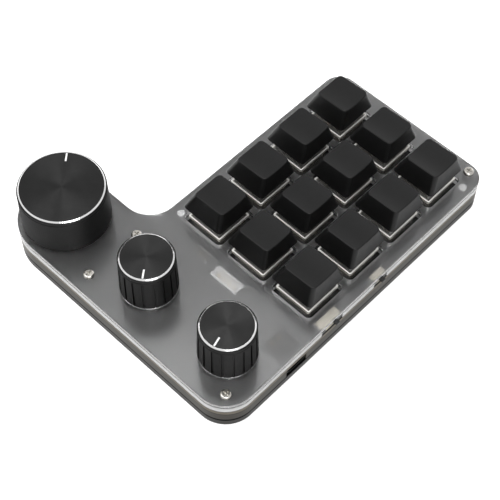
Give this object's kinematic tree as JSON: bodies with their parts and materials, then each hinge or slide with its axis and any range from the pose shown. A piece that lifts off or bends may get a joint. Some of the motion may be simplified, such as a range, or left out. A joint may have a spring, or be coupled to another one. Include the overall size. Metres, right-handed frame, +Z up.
{
  "type": "macro keypad",
  "caption": "Desktop macro keypad: a clear layered L-shaped body with black keycaps on cross-stem switches, black turn-and-push knobs, edge slide switches and a cable port.",
  "frame": {"origin": "on the desk plane under the middle of the overall box", "axes": "+Z up from the desk; +Y from the knob row towards the far key row; +X towards the edge with the port and slide switches"},
  "size_m": [0.1168, 0.1378, 0.0345],
  "materials": {
    "satin_acrylic": "satin clear acrylic with polished edges",
    "clear_acrylic": "clear polished acrylic",
    "board": "black solder mask over a brown glass-fibre core",
    "grey_acrylic": "translucent grey acrylic",
    "black_sheet": "matt black sheet",
    "dark_acrylic": "translucent dark grey acrylic",
    "rubber": "matt rubber",
    "steel": "plain steel",
    "brass": "plain brass",
    "white_nylon": "white nylon",
    "switch_plastic": "pale translucent plastic",
    "switch_clear": "clear plastic",
    "spring_steel": "bright wire",
    "contact_metal": "plated contact metal",
    "keycap_black": "fine satin grain",
    "stem_plastic": "red plastic",
    "black_aluminium": "black anodised with spun top and bright rims",
    "encoder_plastic": "black plastic",
    "bracket_steel": "tinned steel",
    "shaft_steel": "turned metal",
    "plunger_plastic": "black plastic",
    "can_steel": "tinned steel can",
    "lever_plastic": "black plastic",
    "port_steel": "plated steel shell",
    "tongue_plastic": "black plastic",
    "chip_black": "moulded black",
    "ceramic": "ceramic chips",
    "cell_wrap": "foil wrap"
  },
  "bodies": {
    "base": {"cover_plate": "satin_acrylic", "clear_spacer": "clear_acrylic", "circuit_board": "board", "port_frame": "grey_acrylic", "black_liner": "black_sheet", "base_plate": "dark_acrylic", "rubber_feet": "rubber", "screws": "steel", "press_nuts": "brass", "white_posts": "white_nylon", "white_header": "white_nylon", "switch_bottoms": "switch_plastic", "switch_tops": "switch_clear", "switch_springs": "spring_steel", "switch_contacts": "contact_metal", "encoder_pins": "contact_metal", "header_pins": "contact_metal", "encoder_bodies": "encoder_plastic", "encoder_brackets": "bracket_steel", "slide_switch_cans": "can_steel", "port_shell": "port_steel", "port_tongue": "tongue_plastic", "controller_chip": "chip_black", "small_parts": "ceramic", "battery": "cell_wrap"},
    "key_1": {"keycap_1": "keycap_black", "key_stem_1": "stem_plastic"},
    "key_2": {"keycap_2": "keycap_black", "key_stem_2": "stem_plastic"},
    "key_3": {"keycap_3": "keycap_black", "key_stem_3": "stem_plastic"},
    "key_4": {"keycap_4": "keycap_black", "key_stem_4": "stem_plastic"},
    "key_5": {"keycap_5": "keycap_black", "key_stem_5": "stem_plastic"},
    "key_6": {"keycap_6": "keycap_black", "key_stem_6": "stem_plastic"},
    "key_7": {"keycap_7": "keycap_black", "key_stem_7": "stem_plastic"},
    "key_8": {"keycap_8": "keycap_black", "key_stem_8": "stem_plastic"},
    "key_9": {"keycap_9": "keycap_black", "key_stem_9": "stem_plastic"},
    "key_10": {"keycap_10": "keycap_black", "key_stem_10": "stem_plastic"},
    "key_11": {"keycap_11": "keycap_black", "key_stem_11": "stem_plastic"},
    "key_12": {"keycap_12": "keycap_black", "key_stem_12": "stem_plastic"},
    "large_push_button": {"large_plunger": "plunger_plastic"},
    "large_dial": {"large_knob": "black_aluminium", "large_shaft": "shaft_steel"},
    "middle_push_button": {"middle_plunger": "plunger_plastic"},
    "middle_dial": {"middle_knob": "black_aluminium", "middle_shaft": "shaft_steel"},
    "right_push_button": {"right_plunger": "plunger_plastic"},
    "right_dial": {"right_knob": "black_aluminium", "right_shaft": "shaft_steel"},
    "mode_switch": {"mode_slider": "lever_plastic"},
    "power_switch": {"power_slider": "lever_plastic"}
  },
  "joints": [
    {"name": "key_1_press", "type": "slide", "parent": "base", "child": "key_1", "axis": [0, 0, -1], "range_m": [0, 0.004], "stiffness_N_per_m": 150, "springref_m": -0.002, "deforming": ["switch_springs"]},
    {"name": "key_2_press", "type": "slide", "parent": "base", "child": "key_2", "axis": [0, 0, -1], "range_m": [0, 0.004], "stiffness_N_per_m": 150, "springref_m": -0.002, "deforming": ["switch_springs"]},
    {"name": "key_3_press", "type": "slide", "parent": "base", "child": "key_3", "axis": [0, 0, -1], "range_m": [0, 0.004], "stiffness_N_per_m": 150, "springref_m": -0.002, "deforming": ["switch_springs"]},
    {"name": "key_4_press", "type": "slide", "parent": "base", "child": "key_4", "axis": [0, 0, -1], "range_m": [0, 0.004], "stiffness_N_per_m": 150, "springref_m": -0.002, "deforming": ["switch_springs"]},
    {"name": "key_5_press", "type": "slide", "parent": "base", "child": "key_5", "axis": [0, 0, -1], "range_m": [0, 0.004], "stiffness_N_per_m": 150, "springref_m": -0.002, "deforming": ["switch_springs"]},
    {"name": "key_6_press", "type": "slide", "parent": "base", "child": "key_6", "axis": [0, 0, -1], "range_m": [0, 0.004], "stiffness_N_per_m": 150, "springref_m": -0.002, "deforming": ["switch_springs"]},
    {"name": "key_7_press", "type": "slide", "parent": "base", "child": "key_7", "axis": [0, 0, -1], "range_m": [0, 0.004], "stiffness_N_per_m": 150, "springref_m": -0.002, "deforming": ["switch_springs"]},
    {"name": "key_8_press", "type": "slide", "parent": "base", "child": "key_8", "axis": [0, 0, -1], "range_m": [0, 0.004], "stiffness_N_per_m": 150, "springref_m": -0.002, "deforming": ["switch_springs"]},
    {"name": "key_9_press", "type": "slide", "parent": "base", "child": "key_9", "axis": [0, 0, -1], "range_m": [0, 0.004], "stiffness_N_per_m": 150, "springref_m": -0.002, "deforming": ["switch_springs"]},
    {"name": "key_10_press", "type": "slide", "parent": "base", "child": "key_10", "axis": [0, 0, -1], "range_m": [0, 0.004], "stiffness_N_per_m": 150, "springref_m": -0.002, "deforming": ["switch_springs"]},
    {"name": "key_11_press", "type": "slide", "parent": "base", "child": "key_11", "axis": [0, 0, -1], "range_m": [0, 0.004], "stiffness_N_per_m": 150, "springref_m": -0.002, "deforming": ["switch_springs"]},
    {"name": "key_12_press", "type": "slide", "parent": "base", "child": "key_12", "axis": [0, 0, -1], "range_m": [0, 0.004], "stiffness_N_per_m": 150, "springref_m": -0.002, "deforming": ["switch_springs"]},
    {"name": "large_push", "type": "slide", "parent": "base", "child": "large_push_button", "axis": [0, 0, -1], "range_m": [0, 0.0005], "stiffness_N_per_m": 4000, "springref_m": -0.0005},
    {"name": "large_turn", "type": "hinge", "parent": "large_push_button", "child": "large_dial", "pos_m": [-0.04052, -0.051, 0.0154], "axis": [0, 0, 1], "continuous": true},
    {"name": "middle_push", "type": "slide", "parent": "base", "child": "middle_push_button", "axis": [0, 0, -1], "range_m": [0, 0.0005], "stiffness_N_per_m": 4000, "springref_m": -0.0005},
    {"name": "middle_turn", "type": "hinge", "parent": "middle_push_button", "child": "middle_dial", "pos_m": [0.00237, -0.051, 0.0154], "axis": [0, 0, 1], "continuous": true},
    {"name": "right_push", "type": "slide", "parent": "base", "child": "right_push_button", "axis": [0, 0, -1], "range_m": [0, 0.0005], "stiffness_N_per_m": 4000, "springref_m": -0.0005},
    {"name": "right_turn", "type": "hinge", "parent": "right_push_button", "child": "right_dial", "pos_m": [0.04047, -0.051, 0.0154], "axis": [0, 0, 1], "continuous": true},
    {"name": "mode_slide", "type": "slide", "parent": "base", "child": "mode_switch", "axis": [0, 1, 0], "range_m": [-0.004, 0]},
    {"name": "power_slide", "type": "slide", "parent": "base", "child": "power_switch", "axis": [0, 1, 0], "range_m": [-0.0015, 0]}
  ]
}
